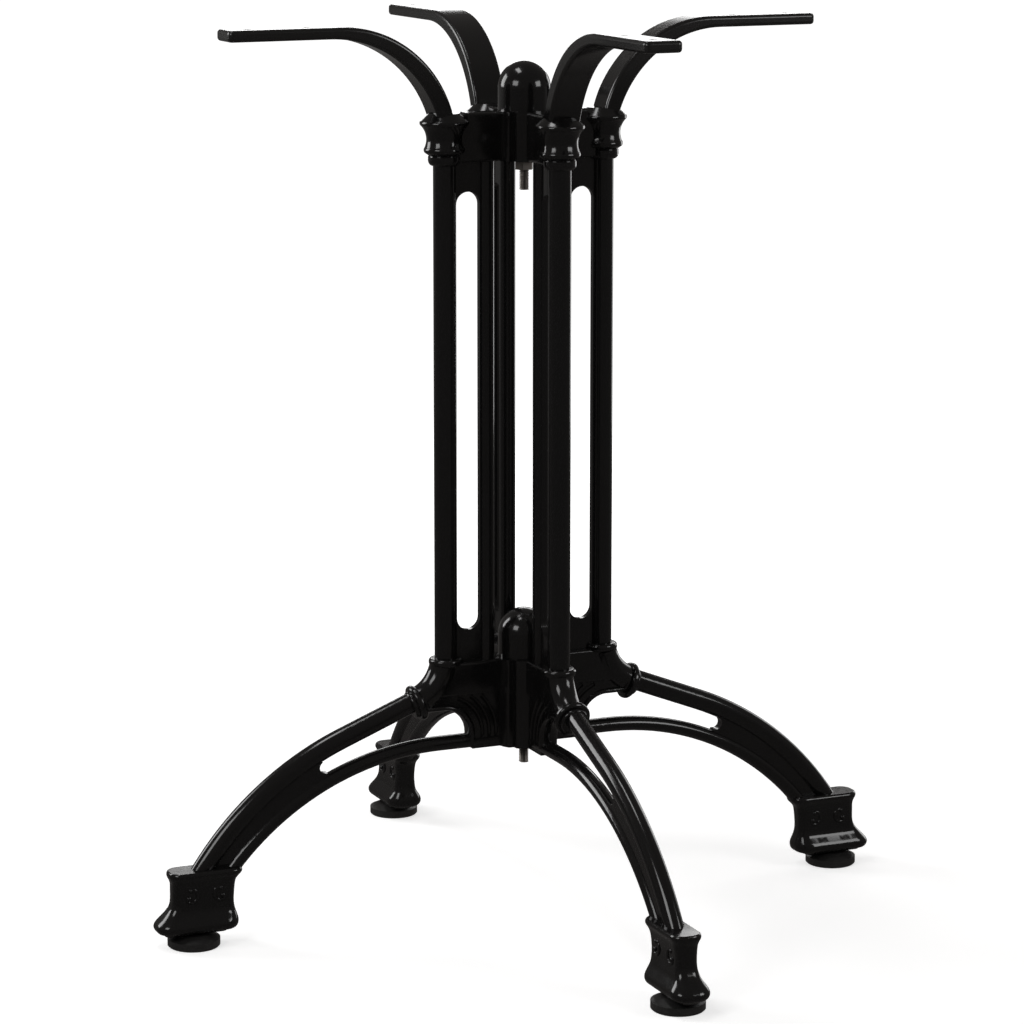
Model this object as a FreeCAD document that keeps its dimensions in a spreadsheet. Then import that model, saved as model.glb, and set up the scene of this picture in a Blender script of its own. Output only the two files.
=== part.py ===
import FreeCAD, Part
import Sketcher
import math
import os
import re
from FreeCAD import Placement, Rotation, Vector

doc = FreeCAD.newDocument("four_star_table_base")

# Driving dimensions in millimetres and degrees.
# Names in _place are distances from the centre line of the base, names in _level are heights above the floor.
SIZES = {
    "pad_top_level": 720,
    "pad_thickness": 9,
    "pad_end_place": 251,
    "pad_width": 31,
    "pad_corner": 4,
    "inner_hole_place": 183,
    "outer_hole_place": 231,
    "screw_hole": 6,
    "arm_root_width": 25.5,
    "arm_root_level": 646,
    "arm_top_arc": 96,
    "arm_top_arc_place": 158,
    "arm_root_depth": 13.6,
    "arm_under_arc_place": 167,
    "arm_edge": 2.8,
    "tube_place": 68.5,
    "tube_radius": 9,
    "tube_bore": 6,
    "post_place": 33,
    "post_radius": 6.5,
    "post_bore": 4,
    "column_web": 5,
    "column_foot_level": 208.5,
    "column_head_level": 611,
    "slot_foot_level": 234.2,
    "slot_head_level": 587.4,
    "socket_gap": 0.15,
    "hub_radius": 24.5,
    "hub_bore": 4.5,
    "hub_seam_angle": 0.4,
    "hub_groove": 3,
    "web_thickness": 16,
    "web_edge": 2.4,
    "head_top_level": 650,
    "collar_foot_level": 609,
    "collar_ring_radius": 12.9,
    "collar_bulge_radius": 16.2,
    "collar_neck_arc": 15.7,
    "collar_bead_radius": 19.5,
    "collar_crown_radius": 12.4,
    "leg_base_level": 136,
    "ridge_level": 181,
    "recess_thickness": 12,
    "arch_place": 72,
    "arch_level": 148,
    "arch_radius": 21,
    "arch_rim": 6.5,
    "flute_first": 33,
    "flute_pitch": 6,
    "flute_depth": 1.7,
    "seat_ring_radius": 13.8,
    "seat_ring_height": 6,
    "seat_depth": 4,
    "elbow_radius": 11.1,
    "elbow_bend": 37,
    "elbow_lean": 11.5,
    "elbow_end_rise": 1.5,
    "neck_ring_place": 93.8,
    "neck_ring_level": 177.4,
    "neck_ring_radius": 15,
    "neck_ring_width": 6,
    "neck_step_radius": 11.4,
    "neck_step_width": 12.5,
    "leg_slope": 21.3,
    "back_arc": 265,
    "back_arc_place": 65.2,
    "back_arc_level": -84.2,
    "back_depth": 17,
    "back_width": 15,
    "belly_arc": 226,
    "belly_arc_place": 75,
    "belly_start_place": 12,
    "belly_depth": 12,
    "belly_width": 13.5,
    "leg_web_thickness": 8,
    "leg_slot_place": 173.8,
    "leg_slot_level": 133.4,
    "leg_slot_radius": 4.9,
    "chord_end_level": 50,
    "shoe_place": 275.5,
    "shoe_flange_length": 60.5,
    "shoe_flange_width": 24.5,
    "shoe_flange_corner": 10,
    "shoe_flange_level": 62,
    "shoe_waist_length": 51.2,
    "shoe_waist_width": 17.5,
    "shoe_waist_corner": 6.5,
    "shoe_toe_length": 68,
    "shoe_toe_width": 31.5,
    "shoe_toe_corner": 13,
    "shoe_toe_level": 17,
    "shoe_toe_shift": 7.5,
    "shoe_sole_level": 10.6,
    "glide_place": 285,
    "glide_radius": 20.9,
    "glide_wall": 6.5,
    "glide_top_radius": 12.5,
    "glide_clearance": 0.3,
    "glide_stud_radius": 4,
    "thread_gap": 0.05,
    "glide_stud_length": 33,
    "glide_bore_depth": 34,
    "dome_radius": 21,
    "dome_wall": 4,
    "dome_skirt": 18,
    "dome_boss_radius": 8,
    "clamp_stud_radius": 4,
    "clamp_thread": 15,
    "clamp_tail": 16.2,
    "washer_radius": 8,
    "washer_thickness": 1.6,
    "clamp_nut_flats": 13,
    "clamp_nut_height": 6.5,
    "nut_recess_radius": 9.6,
    "nut_recess_depth": 7,
    "tie_rod_radius": 2.5,
    "tie_rod_gap": 0.3,
    "tie_rod_thread": 24,
    "tie_nut_flats": 8,
    "tie_nut_height": 4,
    "tie_recess_radius": 5,
    "tie_recess_depth": 8,
}

sheet = doc.addObject("Spreadsheet::Sheet", "Sizes")
for row, (name, size) in enumerate(SIZES.items(), start=1):
    sheet.set(f"A{row}", name.replace("_", " "))
    sheet.set(f"B{row}", str(size))
    sheet.setAlias(f"B{row}", name)
doc.recompute()


def cells(text):
    """Turns an expression on size names into one on the sheet's cells."""
    return re.sub(
        r"[a-z][a-z_]*",
        lambda word: f"Sizes.{word[0]}" if word[0] in SIZES else word[0],
        str(text),
    )


def value(text):
    """Works out an expression on size names."""
    result = sheet.evalExpression(cells(text))
    return float(getattr(result, "Value", result))


def bind(item, **sizes):
    """Ties properties of an object to expressions; at_x, at_y and at_z are its place."""
    paths = {"at_x": "Placement.Base.x", "at_y": "Placement.Base.y", "at_z": "Placement.Base.z"}
    for name, text in sizes.items():
        item.setExpression(paths.get(name, name), cells(text))
    return item


def add(kind, name, **sizes):
    """Adds a Part object and ties its sizes to the sheet."""
    return bind(doc.addObject(kind, name), **sizes)


def turn(item, axis, angle="0"):
    """Turns an object about an axis by an angle that may be an expression."""
    item.Placement = Placement(item.Placement.Base, Rotation(axis, value(angle)))
    item.setExpression("Placement.Rotation.Angle", cells(angle))
    return item


X_AXIS, Y_AXIS, Z_AXIS = Vector(1, 0, 0), Vector(0, 1, 0), Vector(0, 0, 1)


def origin_plane(body, role):
    """Finds one of a body's own origin planes."""
    return next(plane for plane in body.Origin.OriginFeatures if plane.Role == role)


def sketch_in(body, name, role="XY_Plane", level="0"):
    """Adds a sketch to a body on one of its origin planes, lifted to a level."""
    sketch = body.newObject("Sketcher::SketchObject", name)
    sketch.AttachmentSupport = [(origin_plane(body, role), "")]
    sketch.MapMode = "FlatFace"
    sketch.setExpression("AttachmentOffset.Base.z", cells(level))
    return sketch


def side_sketch(name):
    """Adds a free sketch in the upright plane of an arm: across is X, up is Z."""
    sketch = doc.addObject("Sketcher::SketchObject", name)
    sketch.Placement = Placement(Vector(), Rotation(X_AXIS, 90))
    return sketch


def pin(sketch, geometry, end, across, up):
    """Fixes a point of a sketch at two expressions."""
    for kind, axis, text in (("DistanceX", -2, across), ("DistanceY", -1, up)):
        if str(text) == "0":
            sketch.addConstraint(Sketcher.Constraint("PointOnObject", geometry, end, axis))
            continue
        index = sketch.addConstraint(Sketcher.Constraint(kind, -1, 1, geometry, end, value(text)))
        sketch.setExpression(f"Constraints[{index}]", cells(text))


def circle(sketch, across, up, radius):
    """Draws a circle whose centre and radius are expressions."""
    centre = Vector(value(across), value(up), 0)
    geometry = sketch.addGeometry(Part.Circle(centre, Z_AXIS, value(radius)))
    pin(sketch, geometry, 3, across, up)
    index = sketch.addConstraint(Sketcher.Constraint("Radius", geometry, value(radius)))
    sketch.setExpression(f"Constraints[{index}]", cells(radius))


def arc_between(start, finish, radius):
    """Makes the short arc between two points; a positive radius bulges to the left of the way."""
    chord = finish - start
    left = Vector(-chord.y, chord.x, 0).normalize()
    drop = math.sqrt(max(radius ** 2 - (chord.Length / 2) ** 2, 0))
    centre = (start + finish) * 0.5 - left * math.copysign(drop, radius)
    first, last = (finish, start) if radius > 0 else (start, finish)
    angles = [math.atan2(point.y - centre.y, point.x - centre.x) for point in (first, last)]
    return Part.ArcOfCircle(Part.Circle(centre, Z_AXIS, abs(radius)), *angles)


def outline(sketch, corners, closed=True):
    """Draws lines and arcs through corners (across, up, radius); the radius bends the next stretch."""
    points = [Vector(value(corner[0]), value(corner[1]), 0) for corner in corners]
    stretches = len(corners) if closed else len(corners) - 1
    ends = []
    for index in range(stretches):
        start, finish = points[index], points[(index + 1) % len(points)]
        if len(corners[index]) == 2:
            geometry = sketch.addGeometry(Part.LineSegment(start, finish))
            ends.append((geometry, 1, 2))
            continue
        radius = value(corners[index][2])
        geometry = sketch.addGeometry(arc_between(start, finish, radius))
        ends.append((geometry, 2, 1) if radius > 0 else (geometry, 1, 2))
        rule = sketch.addConstraint(Sketcher.Constraint("Radius", geometry, abs(radius)))
        sketch.setExpression(f"Constraints[{rule}]", cells(f"abs({corners[index][2]})"))
    for index, (geometry, first, last) in enumerate(ends):
        pin(sketch, geometry, first, *corners[index][:2])
        if index + 1 < stretches or closed:
            following = ends[(index + 1) % stretches]
            rule = Sketcher.Constraint("Coincident", geometry, last, following[0], following[1])
            sketch.addConstraint(rule)
    if not closed:
        pin(sketch, ends[-1][0], ends[-1][2], *corners[-1][:2])
    return sketch


def plate(name, corners, thickness):
    """Makes a plate in an arm's upright plane, equally thick on both sides of it."""
    sketch = outline(side_sketch(f"{name}_outline"), corners)
    solid = add("Part::Extrusion", name, LengthFwd=thickness)
    solid.Base = sketch
    solid.DirMode = "Normal"
    solid.Solid = True
    solid.Symmetric = True
    return solid


def turned(name, corners, place):
    """Turns a profile (radius, level) about an upright line at a place on the arm."""
    sketch = outline(side_sketch(f"{name}_profile"), corners)
    solid = add("Part::Revolution", name, at_x=place)
    solid.Source = sketch
    solid.Axis = Z_AXIS
    solid.Angle = 360
    solid.Solid = True
    return solid


def fuse(name, *solids):
    """Joins solids into one."""
    joined = doc.addObject("Part::MultiFuse", name)
    joined.Shapes = solids
    joined.Refine = False
    return joined


def cut(name, base, *tools):
    """Takes tools away from a solid."""
    tool = tools[0] if len(tools) == 1 else fuse(f"{name}_tools", *tools)
    result = doc.addObject("Part::Cut", name)
    result.Base = base
    result.Tool = tool
    result.Refine = False
    return result


def rounded(name, base, radius, chosen):
    """Rounds the edges of a solid that a test picks, given each edge's middle point and direction."""
    doc.recompute()
    result = doc.addObject("Part::Fillet", name)
    result.Base = base
    picked = []
    for index, edge in enumerate(base.Shape.Edges, start=1):
        middle = edge.valueAt((edge.FirstParameter + edge.LastParameter) / 2)
        along = edge.tangentAt((edge.FirstParameter + edge.LastParameter) / 2)
        if chosen(middle, along):
            picked.append((index, value(radius), value(radius)))
    result.Edges = picked
    return result


def rod(name, place, radius, foot, head):
    """Adds an upright cylinder between two levels."""
    return add("Part::Cylinder", name, Radius=radius, Height=f"({head}) - ({foot})", at_x=place, at_z=foot)


def web_slot(name, foot, head):
    """Makes the slot that a casting leaves free around the column's web."""
    return plate(name, [
        ("post_place", foot),
        ("tube_place", foot),
        ("tube_place", head),
        ("post_place", head),
    ], "column_web + 2 * socket_gap")


def quarter_hub(name, foot, head):
    """Makes a quarter of the hub: a sector that points outwards, with grooved seams on both sides."""
    sector = add("Part::Cylinder", f"{name}_sector", Radius="hub_radius", Height=f"({head}) - ({foot})",
                 Angle="90 - hub_seam_angle", at_z=foot)
    turn(sector, Z_AXIS, "hub_seam_angle / 2 - 45")
    doc.recompute()
    grooved = doc.addObject("Part::Chamfer", name)
    grooved.Base = sector
    size = value("hub_groove")
    picked = []
    for index, edge in enumerate(sector.Shape.Edges, start=1):
        middle = edge.valueAt((edge.FirstParameter + edge.LastParameter) / 2)
        upright = abs(edge.tangentAt(edge.FirstParameter).z) > 0.99
        if upright and math.hypot(middle.x, middle.y) > size:
            picked.append((index, size, size))
    grooved.Edges = picked
    return grooved


# Top arm: a cast quarter hub, a web, a turned collar over the column's tube, and a flat bar
# that sweeps up and outwards to a level pad with two screw holes.
def make_top_arm():
    under_level = "(pad_top_level - pad_thickness)"
    top_drop = "(arm_top_arc - pad_top_level + arm_root_level)"
    top_root = f"(arm_top_arc_place - sqrt(arm_top_arc ^ 2 - {top_drop} ^ 2))"
    under_root = f"({top_root} + arm_root_depth)"
    rise = f"({under_level} - arm_root_level)"
    under_arc = f"(((arm_under_arc_place - {under_root}) ^ 2 + {rise} ^ 2) / (2 * {rise}))"
    bar = plate("arm_bar", [
        (under_root, "arm_root_level", under_arc),
        ("arm_under_arc_place", under_level),
        ("pad_end_place", under_level),
        ("pad_end_place", "pad_top_level"),
        ("arm_top_arc_place", "pad_top_level", "-arm_top_arc"),
        (top_root, "arm_root_level"),
    ], "pad_width * 2")
    plan = doc.addObject("Sketcher::SketchObject", "arm_plan")
    outline(plan, [
        ("hub_radius", "-arm_root_width / 2"),
        ("pad_end_place", "-pad_width / 2"),
        ("pad_end_place", "pad_width / 2"),
        ("hub_radius", "arm_root_width / 2"),
    ])
    width = add("Part::Extrusion", "arm_width", LengthFwd="pad_top_level + pad_thickness")
    width.Base = plan
    width.DirMode = "Normal"
    width.Solid = True
    tapered = doc.addObject("Part::Common", "arm_tapered")
    tapered.Base = bar
    tapered.Tool = width
    end = value("pad_end_place") - 0.1
    cornered = rounded("arm_cornered", tapered, "pad_corner",
                       lambda middle, along: middle.x > end and abs(along.z) > 0.99)
    root = value("arm_root_level") + 0.1
    side = value("arm_root_width") / 2 - 0.5
    softened = rounded("arm_softened", cornered, "arm_edge",
                       lambda middle, along: middle.z > root and abs(along.z) < 0.99
                       and (abs(middle.y) > side or middle.x > end))
    holes = [rod(f"screw_hole_{place}", f"{place}_hole_place", "screw_hole / 2", under_level, "pad_top_level")
             for place in ("inner", "outer")]
    drilled = cut("arm_drilled", softened, *holes)

    collar = turned("arm_collar", [
        ("0", "collar_foot_level"),
        ("tube_radius + 1.6", "collar_foot_level", "-5"),
        ("collar_ring_radius", "collar_foot_level + 5"),
        ("collar_ring_radius", "collar_foot_level + 6.8"),
        ("collar_ring_radius - 0.6", "collar_foot_level + 7.8"),
        ("collar_bulge_radius - 0.7", "collar_foot_level + 10", "-3.2"),
        ("collar_bulge_radius - 0.7", "collar_foot_level + 14.2", "collar_neck_arc"),
        ("collar_bead_radius - 1.3", "collar_foot_level + 31", "-2.6"),
        ("collar_bead_radius - 1.2", "collar_foot_level + 35.4"),
        ("collar_crown_radius", "head_top_level"),
        ("0", "head_top_level"),
    ], "tube_place")
    notch = "tube_place - collar_bead_radius + 3"
    web = plate("head_web", [
        ("0", "column_head_level"),
        ("tube_place", "column_head_level"),
        ("tube_place", "collar_foot_level + 33"),
        (notch, "collar_foot_level + 33"),
        (notch, "head_top_level"),
        ("0", "head_top_level"),
    ], "web_thickness")
    face = value("web_thickness") / 2 - 0.1
    softened_web = rounded("head_web_edges", web, "web_edge",
                           lambda middle, along: abs(middle.y) > face and abs(along.x) > 0.9)
    hub = quarter_hub("head_hub", "column_head_level", "head_top_level")
    joined = fuse("arm_casting", drilled, collar, softened_web, hub)
    sector = seam_sector("head_sector")
    casting = doc.addObject("Part::Common", "arm_in_quarter")
    casting.Base = joined
    casting.Tool = sector
    return cut(
        "top_arm_1", casting,
        rod("head_bore", "0", "hub_bore", "column_head_level - 1", "head_top_level + 1"),
        rod("head_socket", "tube_place", "tube_radius + socket_gap",
            "collar_foot_level - 1", "column_head_level"),
        web_slot("head_web_slot", "collar_foot_level - 1", "column_head_level"),
        rod("head_rod_hole", "tube_place", "tie_rod_radius + thread_gap", "collar_foot_level",
            "column_head_level + tie_rod_thread + 2"),
    )


def seam_sector(name):
    """A tall quarter wedge that keeps a casting on its own side of the hub's seams."""
    wedge = add("Part::Cylinder", name, Radius="2 * glide_place", Height="2 * pad_top_level",
                Angle="90 - hub_seam_angle")
    return turn(wedge, Z_AXIS, "hub_seam_angle / 2 - 45")


# Column: one aluminium extrusion with a round tube outside, a slimmer one inside and a flat web
# between them, which is milled out to a long slot with round ends.
def make_column():
    body = doc.addObject("PartDesign::Body", "column_1")
    length = "column_head_level - column_foot_level"

    def padded(name, draw):
        sketch = sketch_in(body, f"{name}_sketch", level="column_foot_level")
        draw(sketch)
        pad = body.newObject("PartDesign::Pad", name)
        pad.Profile = sketch
        return bind(pad, Length=length)

    padded("column_tube", lambda sketch: circle(sketch, "tube_place", "0", "tube_radius"))
    padded("column_post", lambda sketch: circle(sketch, "post_place", "0", "post_radius"))
    padded("column_web_wall", lambda sketch: outline(sketch, [
        ("post_place", "-column_web / 2"),
        ("tube_place", "-column_web / 2"),
        ("tube_place", "column_web / 2"),
        ("post_place", "column_web / 2"),
    ]))
    inside = "post_place + post_radius"
    outside = "tube_place - tube_radius"
    half = f"({outside} - ({inside})) / 2"
    slot = sketch_in(body, "slot_sketch", "XZ_Plane")
    middle = "(post_place + post_radius + tube_place - tube_radius) / 2"
    outline(slot, [
        (inside, f"slot_head_level - {half}", half),
        (middle, "slot_head_level", half),
        (outside, f"slot_head_level - {half}"),
        (outside, f"slot_foot_level + {half}", half),
        (middle, "slot_foot_level", half),
        (inside, f"slot_foot_level + {half}"),
    ])
    bores = sketch_in(body, "bore_sketch", level="column_foot_level")
    circle(bores, "tube_place", "0", "tube_bore")
    circle(bores, "post_place", "0", "post_bore")
    for name, sketch in (("column_slot", slot), ("column_bores", bores)):
        pocket = body.newObject("PartDesign::Pocket", name)
        pocket.Profile = sketch
        pocket.Type = "ThroughAll"
        pocket.SideType = "Symmetric"
    return body


def oval(name, depth, width, at_x, at_z, tilt):
    """Draws an oval section across a path that falls by the tilt; its depth lies in the arm's plane."""
    deep = value(depth) >= value(width)
    major, minor = (depth, width) if deep else (width, depth)
    ring = add("Part::Ellipse", name, MajorRadius=f"({major}) / 2", MinorRadius=f"({minor}) / 2",
               at_x=at_x, at_z=at_z)
    across = Rotation(Y_AXIS, 90 + value(tilt))
    ring.Placement = Placement(ring.Placement.Base, across if deep else across * Rotation(Z_AXIS, 90))
    return ring


def swept(name, section, path):
    """Sweeps a section along all edges of a path sketch."""
    doc.recompute()
    solid = doc.addObject("Part::Sweep", name)
    solid.Sections = [section]
    solid.Spine = (path, [f"Edge{index + 1}" for index in range(len(path.Shape.Edges))])
    solid.Solid = True
    solid.Frenet = False
    return solid


def bead(name, radius, width, at_x, at_z, edge, tilted=False):
    """Makes a round-edged ring; a tilted one lies across the leg's chord."""
    disc = add("Part::Cylinder", f"{name}_disc", Radius=radius, Height=width, at_x=at_x, at_z=at_z)
    if tilted:
        turn(disc, Y_AXIS, "90 + leg_slope")
    return rounded(name, disc, edge,
                   lambda middle, along: abs(along.dot(disc.Placement.Rotation * Z_AXIS)) < 0.5)


# Leg: a cast quarter hub, a panel under the column with three arched flutes, a seat ring, an elbow
# with its neck ring, two oval chords that close on a web, and a shoe for the glide.
def make_leg():
    arch_top = "(arch_level + arch_radius)"
    rim_place = "(arch_place - arch_radius - arch_rim / 2)"
    rim_level = f"({arch_top} + arch_rim / 2)"
    panel = plate("leg_panel", [
        ("0", "ridge_level"),
        ("neck_ring_place - 6", "ridge_level"),
        ("tube_place + 2", "column_foot_level"),
        ("0", "column_foot_level"),
    ], "web_thickness")
    face = value("web_thickness") / 2 - 0.1
    softened_panel = rounded("leg_panel_edges", panel, "web_edge",
                             lambda middle, along: abs(middle.y) > face and abs(along.x) > 0.9)
    recess = plate("leg_recess", [
        ("0", "leg_base_level"),
        (rim_place, "leg_base_level"),
        (rim_place, "arch_level", "arch_radius + arch_rim / 2"),
        ("arch_place", rim_level),
        ("neck_ring_place - 6", rim_level),
        ("neck_ring_place", "ridge_level + 1"),
        ("0", "ridge_level + 1"),
    ], "recess_thickness")
    flutes = []
    for index in range(3):
        radius = f"(flute_first + {index} * flute_pitch)"
        rise_share = (value("ridge_level") - value("arch_level") - 1) / value(radius)
        rise = math.degrees(math.asin(min(rise_share, 0.94)))
        dip = math.degrees(math.asin((value("arch_level") - value("leg_base_level") - 3) / value(radius)))
        for side in (-1, 1):
            ring = add("Part::Torus", f"flute_{index + 1}{'a' if side < 0 else 'b'}",
                       Radius1=radius, Radius2="flute_depth")
            ring.Angle3 = rise + dip
            turned_up = Rotation(X_AXIS, 90) * Rotation(Z_AXIS, 180 - rise)
            ring.Placement = Placement(Vector(), turned_up)
            bind(ring, at_x="arch_place", at_y=f"{side} * recess_thickness / 2", at_z="arch_level")
            flutes.append(ring)
    fluted = cut("leg_fluted", recess, *flutes)

    rim_path = outline(side_sketch("rim_path"), [
        (rim_place, "leg_base_level + belly_depth / 2"),
        (rim_place, "arch_level", "arch_radius + arch_rim / 2"),
        ("arch_place", rim_level),
        ("neck_ring_place - 5", rim_level),
    ], closed=False)
    rim_section = oval("rim_section", "arch_rim", "web_thickness",
                       rim_place, "leg_base_level + belly_depth / 2", "-90")
    rim = swept("arch_rim_bar", rim_section, rim_path)

    elbow_place = "(neck_ring_place + elbow_bend * sin(leg_slope))"
    elbow_end = "(neck_ring_level + elbow_end_rise)"
    elbow_level = f"({elbow_end} + elbow_bend * cos(leg_slope))"
    elbow_start = (f"{elbow_place} - elbow_bend * cos(elbow_lean)",
                   f"{elbow_level} - elbow_bend * sin(elbow_lean)")
    elbow_path = outline(side_sketch("elbow_path"), [
        (*elbow_start, "-elbow_bend"),
        ("neck_ring_place", elbow_end),
    ], closed=False)
    elbow_section = oval("elbow_section", "2 * elbow_radius", "2 * elbow_radius",
                         *elbow_start, "90 - elbow_lean")
    elbow = swept("elbow", elbow_section, elbow_path)

    back_radius = "(back_arc - back_depth / 2)"
    back_bend = (f"back_arc_place + {back_radius} * sin(leg_slope)",
                 f"back_arc_level + {back_radius} * cos(leg_slope)")
    back_start = ("neck_ring_place",
                  f"{back_bend[1]} + ({back_bend[0]} - neck_ring_place) * tan(leg_slope)")
    back_end = (f"back_arc_place + sqrt({back_radius} ^ 2 - (chord_end_level - back_arc_level) ^ 2)",
                "chord_end_level")
    back_path = outline(side_sketch("back_path"), [
        back_start,
        (*back_bend, back_radius),
        back_end,
    ], closed=False)
    back_section = oval("back_section", "back_depth", "back_width", *back_start, "leg_slope")
    back = swept("back_chord", back_section, back_path)

    belly_radius = "(belly_arc + belly_depth / 2)"
    belly_level = "(leg_base_level + belly_depth / 2)"
    belly_centre = f"({belly_level} - {belly_radius})"
    belly_end = (f"belly_arc_place + sqrt({belly_radius} ^ 2 - (chord_end_level - {belly_centre}) ^ 2)",
                 "chord_end_level")
    belly_path = outline(side_sketch("belly_path"), [
        ("belly_start_place", belly_level),
        ("belly_arc_place", belly_level, belly_radius),
        belly_end,
    ], closed=False)
    belly_section = oval("belly_section", "belly_depth", "belly_width", "belly_start_place", belly_level, "0")
    belly = swept("belly_chord", belly_section, belly_path)

    belly_turn = f"atan2(leg_slot_place - belly_arc_place; leg_slot_level - {belly_centre})"
    back_turn = "atan2(leg_slot_place - back_arc_place; leg_slot_level - back_arc_level)"
    closing = plate("closing_web", [
        (f"belly_arc_place + {belly_radius} * sin({belly_turn})",
         f"{belly_centre} + {belly_radius} * cos({belly_turn})", belly_radius),
        belly_end,
        (*back_end, f"-{back_radius}"),
        (f"back_arc_place + {back_radius} * sin({back_turn})",
         f"back_arc_level + {back_radius} * cos({back_turn})"),
    ], "leg_web_thickness")
    slot_end = add("Part::Cylinder", "slot_end", Radius="leg_slot_radius", Height="2 * leg_web_thickness",
                   at_x="leg_slot_place", at_y="leg_web_thickness", at_z="leg_slot_level")
    turn(slot_end, X_AXIS, "90")
    closing_cut = cut("closing_web_cut", closing, slot_end)

    seat = bead("seat_ring", "seat_ring_radius", "seat_ring_height", "tube_place",
                "column_foot_level + seat_depth - seat_ring_height", "seat_ring_height * 0.42")
    rings = [
        bead(name, f"{name}_radius", f"{name}_width",
             f"neck_ring_place - {name}_width / 2 * cos(leg_slope)",
             f"neck_ring_level + {name}_width / 2 * sin(leg_slope)", edge, tilted=True)
        for name, edge in (("neck_ring", "neck_ring_width * 0.42"), ("neck_step", "neck_step_width * 0.16"))
    ]
    hub = quarter_hub("leg_hub", "leg_base_level", "column_foot_level")
    joined = fuse("leg_joined", softened_panel, fluted, rim, elbow, back, belly, closing_cut, seat, *rings,
                  hub, make_shoe())
    casting = doc.addObject("Part::Common", "leg_in_quarter")
    casting.Base = joined
    casting.Tool = seam_sector("leg_sector")
    return cut(
        "leg_1", casting,
        rod("leg_bore", "0", "hub_bore", "leg_base_level - 1", "column_foot_level + 1"),
        rod("leg_nut_recess", "0", "nut_recess_radius",
            "leg_base_level - 1", "leg_base_level + nut_recess_depth"),
        rod("leg_socket", "tube_place", "tube_radius + socket_gap", "column_foot_level",
            "column_foot_level + seat_depth + 1"),
        web_slot("leg_web_slot", "column_foot_level", "column_foot_level + seat_depth + 1"),
        rod("leg_rod_hole", "tube_place", "tie_rod_radius + tie_rod_gap",
            arch_top, "column_foot_level + 1"),
        rod("leg_nut_hole", "tube_place", "tie_recess_radius",
            f"{arch_top} - 1", f"{arch_top} + tie_recess_depth"),
        rod("leg_glide_bore", "glide_place", "glide_stud_radius + thread_gap", "shoe_sole_level - 1",
            "shoe_sole_level + glide_bore_depth"),
    )


def rounded_oblong(name, length, width, corner, at_x, at_z):
    """Draws a level rectangle with round corners."""
    sketch = doc.addObject("Sketcher::SketchObject", name)
    far, wide = f"({length}) / 2", f"({width}) / 2"
    far_flat, wide_flat = f"({far} - ({corner}))", f"({wide} - ({corner}))"
    outline(sketch, [
        (far, f"-{wide_flat}"),
        (far, wide_flat, f"-({corner})"),
        (far_flat, wide),
        (f"-{far_flat}", wide, f"-({corner})"),
        (f"-({far})", wide_flat),
        (f"-({far})", f"-{wide_flat}", f"-({corner})"),
        (f"-{far_flat}", f"-({wide})"),
        (far_flat, f"-({wide})", f"-({corner})"),
    ])
    return bind(sketch, at_x=at_x, at_z=at_z)


def make_shoe():
    """Lofts the shoe: a flange, a waisted body with flat sides and a wide toe that leans outwards."""
    waist_level = "(shoe_flange_level * 0.5 + shoe_toe_level * 0.5)"
    flange = ("shoe_flange_length", "shoe_flange_width", "shoe_flange_corner", "shoe_flange_level")
    waist = ("shoe_waist_length", "shoe_waist_width", "shoe_waist_corner", waist_level)
    toe = ("shoe_toe_length", "shoe_toe_width", "shoe_toe_corner", "shoe_toe_level")
    rings = [
        (flange, 0, -3.0, 0.0),
        (flange, 0, -0.4, -1.4),
        (flange, 0, 0.0, -3.6),
        (flange, 0.05, -2.6, -6.0),
        (waist, 0.15, 2.6, 13.6),
        (waist, 0.25, 0.6, 7.5),
        (waist, 0.3, 0.0, 0.0),
        (waist, 0.4, 1.2, -6.5),
        (toe, 0.62, -10.6, 10.6),
        (toe, 0.86, -3.4, 5.2),
        (toe, 0.98, -0.3, 1.6),
        (toe, 1, -1.0, -1.2),
        (toe, 1.05, -6.6, -3.8),
        (toe, 1.15, -17.0, -6.4),
    ]
    sections = []
    for index, ((length, width, corner, level), shift, growth, rise) in enumerate(rings, start=1):
        sections.append(rounded_oblong(
            f"shoe_ring_{index}", f"{length} + {growth}", f"{width} + {growth}", f"{corner} + {growth} / 2",
            f"shoe_place + {shift} * shoe_toe_shift", f"{level} + {rise}",
        ))
    shoe = doc.addObject("Part::Loft", "shoe")
    shoe.Sections = sections
    shoe.Solid = True
    return shoe


def revolved(name, corners):
    """Makes a turned piece on the centre line from a profile (radius, level)."""
    body = doc.addObject("PartDesign::Body", name)
    sketch = sketch_in(body, f"{name}_profile", "XZ_Plane")
    outline(sketch, corners)
    turning = body.newObject("PartDesign::Revolution", f"{name}_turning")
    turning.Profile = sketch
    turning.ReferenceAxis = (sketch, ["V_Axis"])
    turning.Angle = 360
    return body


def round_bar(name, place, radius, foot, head):
    """Makes an upright bar with a chamfer at both ends."""
    body = doc.addObject("PartDesign::Body", name)
    sketch = sketch_in(body, f"{name}_section", level=foot)
    circle(sketch, "0", "0", radius)
    pad = body.newObject("PartDesign::Pad", f"{name}_length")
    pad.Profile = sketch
    bind(pad, Length=f"({head}) - ({foot})")
    doc.recompute()
    ends = body.newObject("PartDesign::Chamfer", f"{name}_ends")
    ends.Base = (pad, [f"Edge{index + 1}" for index, edge in enumerate(pad.Shape.Edges)
                       if abs(edge.tangentAt(edge.FirstParameter).z) < 0.5])
    bind(ends, Size=f"({radius}) / 8")
    return bind(body, at_x=place)


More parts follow.
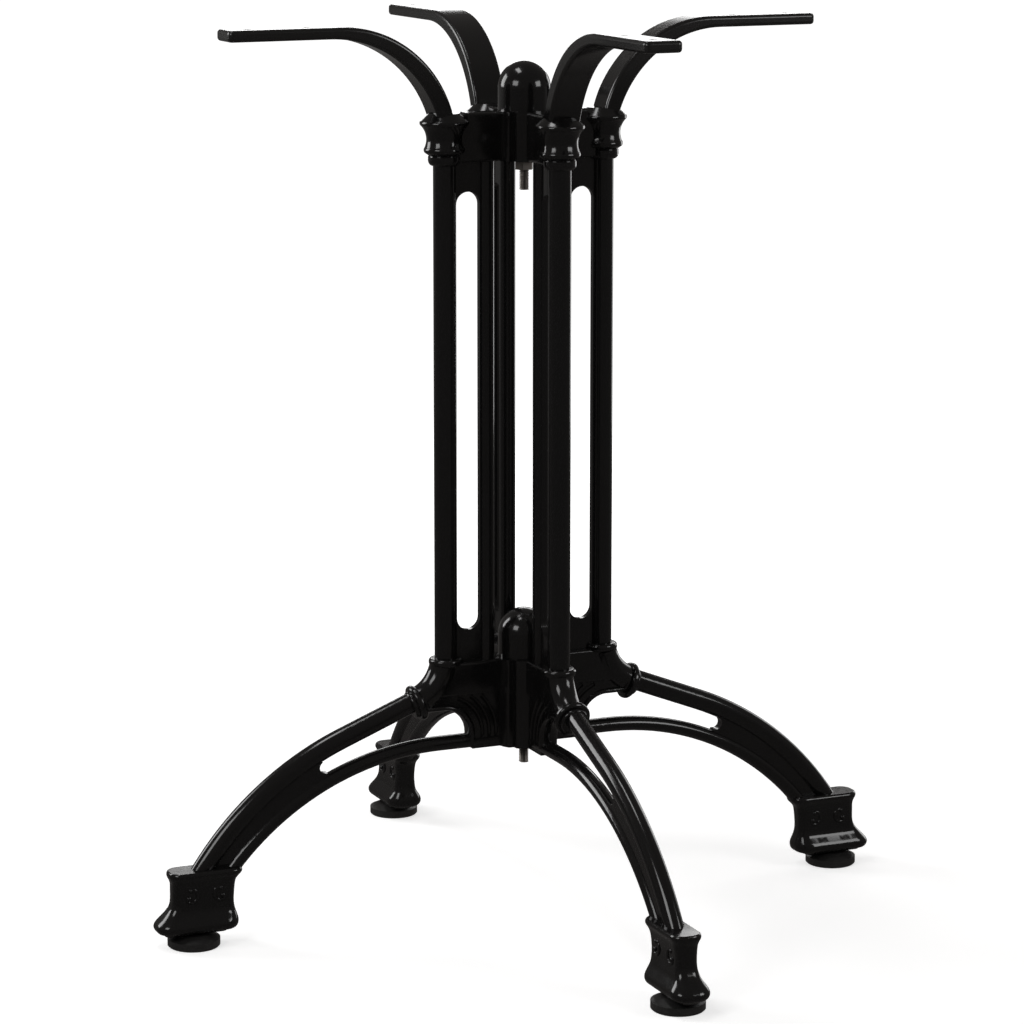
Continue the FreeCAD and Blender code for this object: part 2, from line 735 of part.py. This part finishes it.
def ring_with_bore(name, place, draw, bore, foot, height):
    """Makes a flat ring: a drawn outline padded up from a level, with a round bore."""
    body = doc.addObject("PartDesign::Body", name)
    sketch = sketch_in(body, f"{name}_section", level=foot)
    draw(sketch)
    pad = body.newObject("PartDesign::Pad", f"{name}_height")
    pad.Profile = sketch
    bind(pad, Length=height)
    hole = sketch_in(body, f"{name}_bore_sketch", level=foot)
    circle(hole, "0", "0", bore)
    pocket = body.newObject("PartDesign::Pocket", f"{name}_bore")
    pocket.Profile = hole
    pocket.Type = "ThroughAll"
    pocket.SideType = "Symmetric"
    return bind(body, at_x=place)


def hexagon(sketch, flats):
    """Draws a hexagon of a given width across its flats."""
    corner = f"({flats}) / 2 / cos(30)"
    outline(sketch, [(f"{corner} * cos({60 * index})", f"{corner} * sin({60 * index})") if index % 3
                     else (f"{corner} * cos({60 * index})", "0") for index in range(6)])


# Dome cap: a cast cap with a skirt and a threaded boss that clamps four quarter hubs together.
def make_dome_cap(name, foot):
    crown = f"{foot} + dome_skirt"
    return revolved(name, [
        ("dome_boss_radius", foot),
        ("dome_boss_radius", f"{crown} + sqrt((dome_radius - dome_wall) ^ 2 - dome_boss_radius ^ 2)",
         "dome_radius - dome_wall"),
        ("dome_radius - dome_wall", crown),
        ("dome_radius - dome_wall", foot),
        ("dome_radius", foot),
        ("dome_radius", crown, "-dome_radius"),
        ("0", f"{crown} + dome_radius"),
        ("0", f"{foot} + clamp_thread"),
        ("clamp_stud_radius", f"{foot} + clamp_thread"),
        ("clamp_stud_radius", foot),
    ])


# Clamp: a stud in the dome cap's boss, with a washer and a nut under the hub.
def make_clamp(side, hub_top, bearing):
    stack = "washer_thickness + clamp_nut_height"
    cap = make_dome_cap(f"{side}_dome_cap", hub_top)
    stud = round_bar(f"{side}_clamp_stud", "0", "clamp_stud_radius",
                     f"{bearing} - ({stack}) - clamp_tail", f"{hub_top} + clamp_thread")
    washer = ring_with_bore(f"{side}_clamp_washer", "0",
                            lambda sketch: circle(sketch, "0", "0", "washer_radius"),
                            "clamp_stud_radius + socket_gap",
                            f"{bearing} - washer_thickness", "washer_thickness")
    nut = ring_with_bore(f"{side}_clamp_nut", "0", lambda sketch: hexagon(sketch, "clamp_nut_flats"),
                         "clamp_stud_radius", f"{bearing} - ({stack})", "clamp_nut_height")
    return [cap, stud, washer, nut]


# Tie rod: a threaded rod inside the column's outer tube, from the arch of the leg up into the collar.
def make_tie():
    recess_top = "(arch_level + arch_radius + tie_recess_depth)"
    tie = round_bar("tie_rod_1", "tube_place", "tie_rod_radius",
                    f"{recess_top} - tie_nut_height - tie_rod_radius",
                    "column_head_level + tie_rod_thread")
    nut = ring_with_bore("tie_nut_1", "tube_place", lambda sketch: hexagon(sketch, "tie_nut_flats"),
                         "tie_rod_radius", f"{recess_top} - tie_nut_height", "tie_nut_height")
    return [tie, nut]


# Levelling glide: a moulded disc on a stud that screws in and out of the shoe.
def make_glide():
    seat = "shoe_sole_level - glide_clearance"
    sole = "glide_wall * 0.5"
    disc = revolved("glide_disc_1", [
        ("0", "0"),
        ("glide_radius - 1", "0"),
        ("glide_radius", "1"),
        ("glide_radius", "glide_wall"),
        ("glide_top_radius", seat),
        ("glide_stud_radius", seat),
        ("glide_stud_radius", sole),
        ("0", sole),
    ])
    bind(disc, at_x="glide_place")
    stud = round_bar("glide_stud_1", "glide_place", "glide_stud_radius", sole, f"{sole} + glide_stud_length")
    return [disc, stud]


def four_of(first):
    """Sets three more of a piece round the centre line, a quarter turn apart."""
    pieces = [first]
    for number in range(2, 5):
        name = f"{first.Label[:-2]}_{number}"
        link = doc.addObject("App::Link", name)
        link.LinkedObject = first
        link.Label = name
        link.LinkTransform = True
        link.Placement = Placement(Vector(), Rotation(Z_AXIS, 90 * (number - 1)))
        pieces.append(link)
    return pieces


pieces = []
for first in [make_top_arm(), make_column(), make_leg(), *make_tie(), *make_glide()]:
    pieces += four_of(first)
pieces += make_clamp("top", "head_top_level", "column_head_level")
pieces += make_clamp("bottom", "column_foot_level", "leg_base_level + nut_recess_depth")
doc.recompute()

for item in doc.Objects:
    if {"Invalid", "Error"} & set(item.State):
        raise RuntimeError(f"{item.Label} did not build: {item.State}")
os.makedirs("parts", exist_ok=True)
for piece in pieces:
    shape = piece.Shape
    if shape.isNull() or not shape.isValid() or len(shape.Solids) != 1:
        raise RuntimeError(f"{piece.Label} is not one sound solid")
    shape.exportStep(f"parts/{piece.Label}.step")
    print(f"{piece.Label}: {shape.Volume / 1000:.2f} cm3")
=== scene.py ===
import math

import bmesh
import bpy
from mathutils import Euler, Matrix, Vector


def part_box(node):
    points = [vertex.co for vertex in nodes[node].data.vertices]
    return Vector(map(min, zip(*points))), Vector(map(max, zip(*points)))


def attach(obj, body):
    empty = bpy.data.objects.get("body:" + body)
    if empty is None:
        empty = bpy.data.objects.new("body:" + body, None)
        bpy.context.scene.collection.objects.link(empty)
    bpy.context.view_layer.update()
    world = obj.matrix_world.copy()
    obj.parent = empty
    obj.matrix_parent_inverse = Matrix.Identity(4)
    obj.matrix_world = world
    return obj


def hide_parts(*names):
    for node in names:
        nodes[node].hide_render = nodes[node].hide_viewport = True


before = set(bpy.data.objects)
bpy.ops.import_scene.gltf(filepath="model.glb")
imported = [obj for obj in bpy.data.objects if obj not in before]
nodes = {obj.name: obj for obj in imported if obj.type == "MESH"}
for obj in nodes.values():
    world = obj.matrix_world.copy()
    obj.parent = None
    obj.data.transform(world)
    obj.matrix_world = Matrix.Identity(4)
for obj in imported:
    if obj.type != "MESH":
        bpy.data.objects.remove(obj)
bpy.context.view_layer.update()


# Castings: the top arms, the legs and the two dome caps are poured aluminium, fettled and then
# powder coated gloss black. The coat flows a little wavy over the sand-cast skin, with a fine
# orange peel on it and a trace of dust where it looks up. On the arms the coat is rougher, and its
# colour is lifted lighter there as a painted sheen.
class Channel:
    """A shader value; Python's own operators on it add Math nodes."""

    def __init__(self, finish, socket):
        self.finish, self.socket = finish, socket

    def maths(self, operation, other):
        return self.finish.node("ShaderNodeMath", {"operation": operation}, self, other)

    def __add__(self, other):
        return self.maths("ADD", other)

    def __mul__(self, other):
        return self.maths("MULTIPLY", other)

    __radd__ = __add__
    __rmul__ = __mul__

    def between(self, low, high):
        """Runs smoothly from 0 at low to 1 at high."""
        return self.finish.node("ShaderNodeMapRange", {"interpolation_type": "SMOOTHSTEP"},
                                self, low, high, 0.0, 1.0)


class Finish:
    """A material, or the world, whose nodes are all made by one method."""

    def __init__(self, holder, skin="Principled BSDF"):
        self.holder = holder
        holder.use_nodes = True
        self.tree = holder.node_tree
        self.skin = self.tree.nodes[skin]
        self.place = self.node("ShaderNodeTexCoord", output="Object")

    def node(self, kind, settings=(), *values, output=0, **named):
        """Adds a node: its settings first, then its sockets in order, None to leave one, or by name."""
        added = self.tree.nodes.new(kind)
        for name, setting in dict(settings).items():
            setattr(added, name, setting)
        for socket, given in zip(added.inputs, values):
            if given is not None:
                self.feed(socket, given)
        for name, given in named.items():
            self.feed(added.inputs[name], given)
        return Channel(self, added.outputs[output])

    def feed(self, socket, given):
        """Links a channel to a socket, or sets the socket to a value."""
        if isinstance(given, Channel):
            self.tree.links.new(given.socket, socket)
        else:
            socket.default_value = given

    def noise(self, scale, detail=2.0, rough=0.5, stretch=(1, 1, 1)):
        """A smooth noise from 0 to 1 whose grains are about a metre over scale across."""
        mapped = self.node("ShaderNodeMapping", {}, Vector=self.place, Scale=stretch)
        return self.node("ShaderNodeTexNoise", {}, Vector=mapped, Scale=scale, Detail=detail, Roughness=rough)

    def shade(self, mask, low, high):
        """A colour that runs from low to high with a mask."""
        other_types = [None] * 5
        return self.node("ShaderNodeMix", {"data_type": "RGBA"},
                         mask, *other_types, (*low, 1), (*high, 1), output=2)

    def up(self):
        """How far the surface looks up, from 0 on a wall to 1 on a level face."""
        facing = self.node("ShaderNodeNewGeometry", output="Normal")
        return self.node("ShaderNodeSeparateXYZ", {}, facing, output="Z").between(0.2, 1.0)

    def bump(self, height, depth, strength, over=None):
        """A bump of a depth in metres, laid over another one."""
        named = {"Height": height, "Distance": depth, "Strength": strength}
        if over:
            named["Normal"] = over
        return self.node("ShaderNodeBump", {}, **named)

    def wear(self, **sockets):
        """Sets the surface's sockets; underscores stand for spaces."""
        for name, given in sockets.items():
            self.feed(self.skin.inputs[name.replace("_", " ")], given)
        return self.holder


def dress(names, material):
    """Gives CAD nodes a material."""
    for name in names:
        nodes[name].data.materials.clear()
        nodes[name].data.materials.append(material)


SIDES = (1, 2, 3, 4)
# The lighter black is reached by random patches, dust and the painted sheen on the arms.
clean_black, dust_and_sheen_black = (0.0035, 0.0034, 0.0036), (0.010, 0.0095, 0.0092)
coat_ior = 1.5
# Heights of the arms that get the rougher coat and the painted sheen.
rubbed_and_sheen_from, rubbed_and_sheen_above = 0.652, 0.69
cap_reach_squared, arm_reach_squared = 0.002, 0.005
cast = Finish(bpy.data.materials.new("gloss_black_cast_coat"))
peel = cast.noise(scale=520)
wave = cast.noise(scale=55, detail=1.0, rough=0.4)
patches = cast.noise(scale=16, detail=3.0, rough=0.6)
dust = cast.up() * cast.noise(scale=130, detail=4.0, rough=0.7)
x, y, height = (cast.node("ShaderNodeSeparateXYZ", {}, cast.place, output=axis) for axis in "XYZ")
off_the_cap = (x * x + y * y).between(cap_reach_squared, arm_reach_squared)
# This mask makes the coat on the arms rougher and lifts their colour as a painted sheen.
rubbed_and_sheen = height.between(rubbed_and_sheen_from, rubbed_and_sheen_above) * off_the_cap
cast_coat = cast.wear(
    Base_Color=cast.shade(patches * 0.5 + dust * 0.5 + rubbed_and_sheen * 0.6, clean_black, dust_and_sheen_black),
    Roughness=0.085 + 0.07 * patches + 0.1 * dust + 0.08 * rubbed_and_sheen,
    Normal=cast.bump(peel, depth=0.00003, strength=0.28,
                     over=cast.bump(wave, depth=0.0004, strength=0.18)),
    IOR=coat_ior,
)
dress([f"{part}_{side}" for part in ("top_arm", "leg") for side in SIDES], cast_coat)
dress(["top_dome_cap", "bottom_dome_cap"], cast_coat)


# Shoe scrolls: two C scrolls stand back to back on each long side of a shoe, each curled round
# two small balls. They are cast with the leg and covered by the same coat.
def finished(name, mesh, body, material):
    """Makes a piece from a bmesh, gives it a material and lets it ride on a body."""
    bmesh.ops.recalc_face_normals(mesh, faces=mesh.faces)
    for face in mesh.faces:
        face.smooth = True
    data = bpy.data.meshes.new(name)
    mesh.to_mesh(data)
    mesh.free()
    piece = bpy.data.objects.new(name, data)
    bpy.context.collection.objects.link(piece)
    data.materials.append(material)
    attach(piece, body)
    return piece


mm_per_metre = 1000
scroll_line = [(-1.2, 5.9, 0.6), (-4.0, 5.4, 0.9), (-5.8, 2.2, 1.1), (-5.7, -2.0, 1.1),
               (-3.2, -5.2, 1.0), (0.9, -5.5, 0.9), (3.7, -3.7, 0.8), (3.2, -0.8, 0.6)]
scroll_balls = [(0.0, 4.6, 1.8), (1.5, -1.7, 2.0)]
scroll_radius, scroll_flatness = 0.00135, 0.8
shoe_middle, shoe_half_width, scroll_place, scroll_level = 277.3, 8.75, 12.6, 42.5
drawn = bpy.data.curves.new("scroll_line", "CURVE")
drawn.dimensions = "3D"
drawn.bevel_depth, drawn.bevel_resolution, drawn.resolution_u = scroll_radius, 3, 6
drawn.use_fill_caps = True
line = drawn.splines.new("NURBS")
line.points.add(len(scroll_line) - 1)
for point, (across, rise, thickness) in zip(line.points, scroll_line):
    point.co = (across / mm_per_metre, 0, rise / mm_per_metre, 1)
    point.radius = thickness
line.order_u, line.use_endpoint_u = 4, True
scroll_curve = bpy.data.objects.new("scroll_curve", drawn)
scroll_mesh = bpy.data.meshes.new_from_object(scroll_curve)
bpy.data.objects.remove(scroll_curve)
set_down = bpy.data.meshes.new("set_down")
for side in SIDES:
    quarter_turns = Matrix.Rotation(math.radians(90 * (side - 1)), 3, "Z")
    relief = bmesh.new()
    for front, hand in ((-1, -1), (-1, 1), (1, -1), (1, 1)):
        scroll = bmesh.new()
        scroll.from_mesh(scroll_mesh)
        for across, rise, radius in scroll_balls:
            middle = Matrix.Translation((across / mm_per_metre, 0, rise / mm_per_metre))
            bmesh.ops.create_uvsphere(scroll, u_segments=16, v_segments=10, radius=radius / mm_per_metre,
                                      matrix=middle)
        place = Vector((shoe_middle + hand * scroll_place, front * shoe_half_width, scroll_level))
        bmesh.ops.scale(scroll, vec=(hand, scroll_flatness, 1), verts=scroll.verts)
        bmesh.ops.translate(scroll, vec=place / mm_per_metre, verts=scroll.verts)
        bmesh.ops.rotate(scroll, cent=(0, 0, 0), matrix=quarter_turns, verts=scroll.verts)
        scroll.to_mesh(set_down)
        relief.from_mesh(set_down)
        scroll.free()
    finished(f"shoe_scrolls_{side}", relief, "base", cast_coat)


# Columns: aluminium extrusions, milled to length and slotted, then coated in the same gloss black.
# The drawn skin is smoother than a casting and carries faint lines along its length.
drawn_black, blushed_black = (0.0035, 0.0034, 0.0037), (0.007, 0.0068, 0.0068)
drawn_skin = Finish(bpy.data.materials.new("gloss_black_extrusion_coat"))
lines = drawn_skin.noise(scale=420, stretch=(1, 1, 0.02))
flow = drawn_skin.noise(scale=45, detail=1.0, rough=0.4, stretch=(1, 1, 0.25))
specks = drawn_skin.noise(scale=600)
blush = drawn_skin.noise(scale=9, detail=3.0, rough=0.6, stretch=(1, 1, 0.4))
flowing = drawn_skin.bump(flow, depth=0.0003, strength=0.2)
lined = drawn_skin.bump(lines, depth=0.00002, strength=0.3, over=flowing)
column_coat = drawn_skin.wear(
    Base_Color=drawn_skin.shade(blush, drawn_black, blushed_black),
    Roughness=0.09 + 0.06 * blush + 0.03 * lines,
    Normal=drawn_skin.bump(specks, depth=0.00002, strength=0.25, over=lined),
    IOR=coat_ior,
)
dress([f"column_{side}" for side in SIDES], column_coat)


# Tie rods: zinc-plated steel rods with nuts, hidden inside the tubes. The plating is slightly
# cloudy, with fine turning lines round the rod.
dull_zinc, bright_zinc = (0.13, 0.117, 0.107), (0.25, 0.227, 0.207)
zinc = Finish(bpy.data.materials.new("zinc_plated_steel"))
cloud = zinc.noise(scale=60, detail=4.0, rough=0.6)
turning = zinc.noise(scale=900, detail=1.0, stretch=(0.2, 0.2, 4))
stain = zinc.noise(scale=14, detail=3.0, rough=0.6)
zinc_plate = zinc.wear(
    Base_Color=zinc.shade(cloud * 0.7 + stain * 0.3, dull_zinc, bright_zinc),
    Metallic=1.0,
    Roughness=0.26 + 0.2 * cloud,
    Normal=zinc.bump(turning, depth=0.00003, strength=0.4),
)
dress([f"{part}_{side}" for part in ("tie_rod", "tie_nut") for side in SIDES], zinc_plate)


# Clamps: an M8 stud screwed into each dome cap pulls it down on the hub, with a washer and a nut
# under the hub. The rolled thread runs the whole length of the stud, and both ends are chamfered.
thread_pitch, thread_depth, chamfered_end = 0.00125, 0.6, 0.88
steps_per_turn, spare_turns, lead_in = 20, 2, 1.5
weld_distance, level_tolerance = 1e-6, 1e-5


def threaded(centre, low, high, radius, body, name):
    """Makes a threaded rod between two levels by screwing one tooth of its profile upwards."""
    rod = bmesh.new()
    turns = math.ceil((high - low) / thread_pitch) + spare_turns
    root = radius - thread_depth * thread_pitch
    tooth = [(root, 0), (root, 0.2), (radius, 0.55), (radius, 0.65), (root, 1)]
    corners = [rod.verts.new((centre[0] + reach, centre[1], low + (rise - lead_in) * thread_pitch))
               for reach, rise in tooth]
    edges = [rod.edges.new(pair) for pair in zip(corners, corners[1:])]
    bmesh.ops.spin(rod, geom=corners + edges, cent=(*centre, 0), axis=(0, 0, 1),
                   dvec=(0, 0, thread_pitch / steps_per_turn), angle=2 * math.pi * turns,
                   steps=steps_per_turn * turns, use_merge=False)
    bmesh.ops.remove_doubles(rod, verts=rod.verts, dist=weld_distance)
    for level, outwards in ((low, -1), (high, 1)):
        bmesh.ops.bisect_plane(rod, geom=[*rod.verts, *rod.edges, *rod.faces], plane_co=(0, 0, level),
                               plane_no=(0, 0, outwards), clear_outer=True)
        rim = [edge for edge in rod.edges
               if edge.is_boundary and all(abs(vert.co.z - level) < level_tolerance for vert in edge.verts)]
        bmesh.ops.holes_fill(rod, edges=rim, sides=0)
        ring = {vert for edge in rim for vert in edge.verts}
        bmesh.ops.scale(rod, vec=(chamfered_end, chamfered_end, 1),
                        space=Matrix.Translation((-centre[0], -centre[1], 0)), verts=list(ring))
    return finished(name, rod, body, zinc_plate)


for hub in ("top", "bottom"):
    low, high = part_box(f"{hub}_clamp_stud")
    stud = threaded((0, 0), low[2], high[2], high[0], "base", f"{hub}_stud")
    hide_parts(f"{hub}_clamp_stud")
dress([f"{hub}_clamp_{part}" for hub in ("top", "bottom") for part in ("washer", "nut")], zinc_plate)


# Levelling glides: a moulded black nylon disc on an M8 stud that screws into the shoe. The nylon
# is matt, with a fine moulded grain and a few scuffs.
fresh_nylon, scuffed_nylon = (0.014, 0.0136, 0.0132), (0.034, 0.033, 0.032)
nylon = Finish(bpy.data.materials.new("matt_black_nylon"))
grain = nylon.noise(scale=1400)
moulded = nylon.noise(scale=90, detail=3.0, rough=0.6)
scuff = nylon.noise(scale=260, detail=4.0, rough=0.7, stretch=(1, 1, 3)).between(0.52, 0.7)
glide_nylon = nylon.wear(
    Base_Color=nylon.shade(scuff * 0.5 + moulded * 0.3, fresh_nylon, scuffed_nylon),
    Roughness=0.34 + 0.16 * moulded + 0.1 * scuff,
    Normal=nylon.bump(grain, depth=0.00004, strength=0.5,
                      over=nylon.bump(moulded, depth=0.0002, strength=0.2)),
)
dress([f"glide_disc_{side}" for side in SIDES], glide_nylon)
for side in SIDES:
    low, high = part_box(f"glide_stud_{side}")
    middle = (low + high) / 2
    stud = threaded((middle[0], middle[1]), low[2], high[2], (high[0] - low[0]) / 2, f"glide_{side}",
                    f"glide_screw_{side}")
    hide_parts(f"glide_stud_{side}")


# Studio: a round sweep of white paper and six soft boxes. The camera sees the paper and the room
# as white, but the gloss coat mirrors both as dim, a little brighter behind the base.
black, white = (0, 0, 0), (1, 1, 1)
sweep_radius, sweep_segments = 30, 96
sweep = bmesh.new()
bmesh.ops.create_circle(sweep, cap_ends=True, segments=sweep_segments, radius=sweep_radius)
floor_mesh = bpy.data.meshes.new("floor")
sweep.to_mesh(floor_mesh)
sweep.free()
floor = bpy.data.objects.new("floor", floor_mesh)
bpy.context.collection.objects.link(floor)

away_from_camera = (0.4061, 0.9138, 0)
paper_shade, paper_light = (0.78, 0.78, 0.78), (0.82, 0.82, 0.82)
mirrored_front, mirrored_behind = (0.095, 0.089, 0.085), (0.17, 0.165, 0.16)
glow_near_base = 0.62
paper = Finish(bpy.data.materials.new("white_paper"))
seen = paper.node("ShaderNodeLightPath", output="Is Camera Ray")
mirrored = paper.node("ShaderNodeLightPath", output="Is Glossy Ray")
from_centre = paper.node("ShaderNodeVectorMath", {"operation": "LENGTH"}, paper.place, output="Value")
behind = paper.node("ShaderNodeVectorMath", {"operation": "DOT_PRODUCT"}, paper.place, away_from_camera,
                    output="Value")
glow = seen * (glow_near_base + (1 - glow_near_base) * from_centre.between(0.45, 1.5))
fibre = paper.noise(scale=300, detail=3.0)
floor_skin = paper.wear(
    Base_Color=paper.shade(fibre, paper_shade, paper_light),
    Roughness=0.9,
    Specular_IOR_Level=0.0,
    Emission_Color=paper.shade(glow, black, white),
    Emission_Strength=1.0,
)
lit = Channel(paper, paper.skin.outputs[0])
sheen = paper.node("ShaderNodeEmission", {},
                   paper.shade(behind.between(0.5, 3.0), mirrored_front, mirrored_behind))
paper.feed(paper.tree.nodes["Material Output"].inputs[0],
           paper.node("ShaderNodeMixShader", {}, mirrored, lit, sheen))
floor.data.materials.append(floor_skin)

camera = bpy.data.objects.new("camera", bpy.data.cameras.new("camera"))
bpy.context.collection.objects.link(camera)
camera.location = (-1.1638, -2.61866, 0.90588)
camera.rotation_euler = Euler([math.radians(angle) for angle in (80.1774, 0.2065, -22.4947)])
camera.data.lens = 127.592
camera.data.shift_x, camera.data.shift_y = 0.08, -0.10
bpy.context.scene.camera = camera

lamp_frame = Euler([math.radians(angle) for angle in (78.505, 0, -23.753)]).to_matrix()
to_the_right, upwards, to_the_front = (lamp_frame.col[axis] for axis in range(3))
lamp_target, lamp_distance = Vector((0, 0, 0.4)), 2.2
for name, way, size, radiance in [
    ("overhead_box", (-0.285, 0.92, 0.25), (0.9, 0.4), 7.0),
    ("front_left_box", (-0.585, 0.28, 0.76), (0.85, 0.7), 4.7),
    ("front_right_box", (0.848, 0.257, 0.462), (0.85, 0.7), 4.8),
    ("side_left_box", (-0.877, 0.42, -0.231), (0.8, 1.2), 5.5),
    ("back_right_box", (0.617, 0.239, -0.75), (0.8, 1.2), 2.2),
    ("back_strip_box", (0.0, 0.465, -0.885), (1.5, 0.4), 4.0),
]:
    toward = (to_the_right * way[0] + upwards * way[1] + to_the_front * way[2]).normalized()
    lamp = bpy.data.lights.new(name, "AREA")
    lamp.shape = "RECTANGLE"
    lamp.size, lamp.size_y = size
    lamp.energy = radiance * math.pi * size[0] * size[1]
    soft_box = bpy.data.objects.new(name, lamp)
    bpy.context.collection.objects.link(soft_box)
    soft_box.location = lamp_target + toward * lamp_distance
    soft_box.rotation_euler = toward.to_track_quat("Z", "Y").to_euler()
    soft_box.visible_camera = False

dim_room = (0.12, 0.113, 0.108)
world = bpy.data.worlds.new("studio")
bpy.context.scene.world = world
air = Finish(world, "Background")
air.wear(Color=air.shade(air.node("ShaderNodeLightPath", output="Is Camera Ray"), dim_room, white))

bpy.context.scene.view_settings.view_transform = "Standard"
